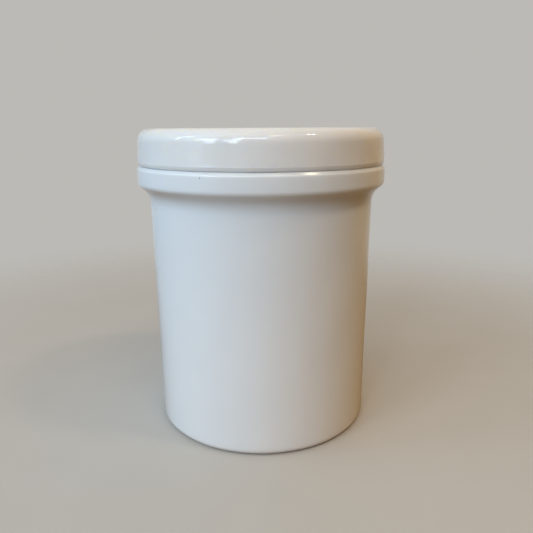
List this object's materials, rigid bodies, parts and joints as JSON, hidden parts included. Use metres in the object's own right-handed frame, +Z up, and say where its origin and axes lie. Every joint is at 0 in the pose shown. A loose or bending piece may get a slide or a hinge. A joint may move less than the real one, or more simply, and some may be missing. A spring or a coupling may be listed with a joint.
{
  "type": "wide-mouth storage jar",
  "caption": "White wide-mouth apothecary jar with a flush collar, a threaded neck, an ivory screw lid with a rounded shoulder, and a loose sealing disc.",
  "frame": {"origin": "on the table plane, on the jar's own axis, at the middle of the bearing ring", "axes": "+Z up along the jar's axis; X and Y are free, and the neck's thread starts at +X"},
  "size_m": [0.1174, 0.1174, 0.143],
  "materials": {
    "white_body": "smooth white, soft gloss",
    "ivory_lid": "ivory, high gloss",
    "disc_board": "waxed pulpboard, matt"
  },
  "bodies": {
    "jar": {"jar": "white_body"},
    "disc": {"sealing_disc": "disc_board"},
    "lid": {"screw_lid": "ivory_lid"}
  },
  "joints": [
    {"name": "lid_rise", "type": "slide", "parent": "jar", "child": "disc", "axis": [0, 0, 1], "range_m": [0, 0.0204]},
    {"name": "lid_turn", "type": "hinge", "parent": "disc", "child": "lid", "pos_m": [0, 0, 0.14], "axis": [0, 0, 1], "range_deg": [0, 1440]}
  ],
  "couplings": [
    {"joint": "lid_rise", "follows": "lid_turn", "m_per_rad": 0.00080851}
  ]
}
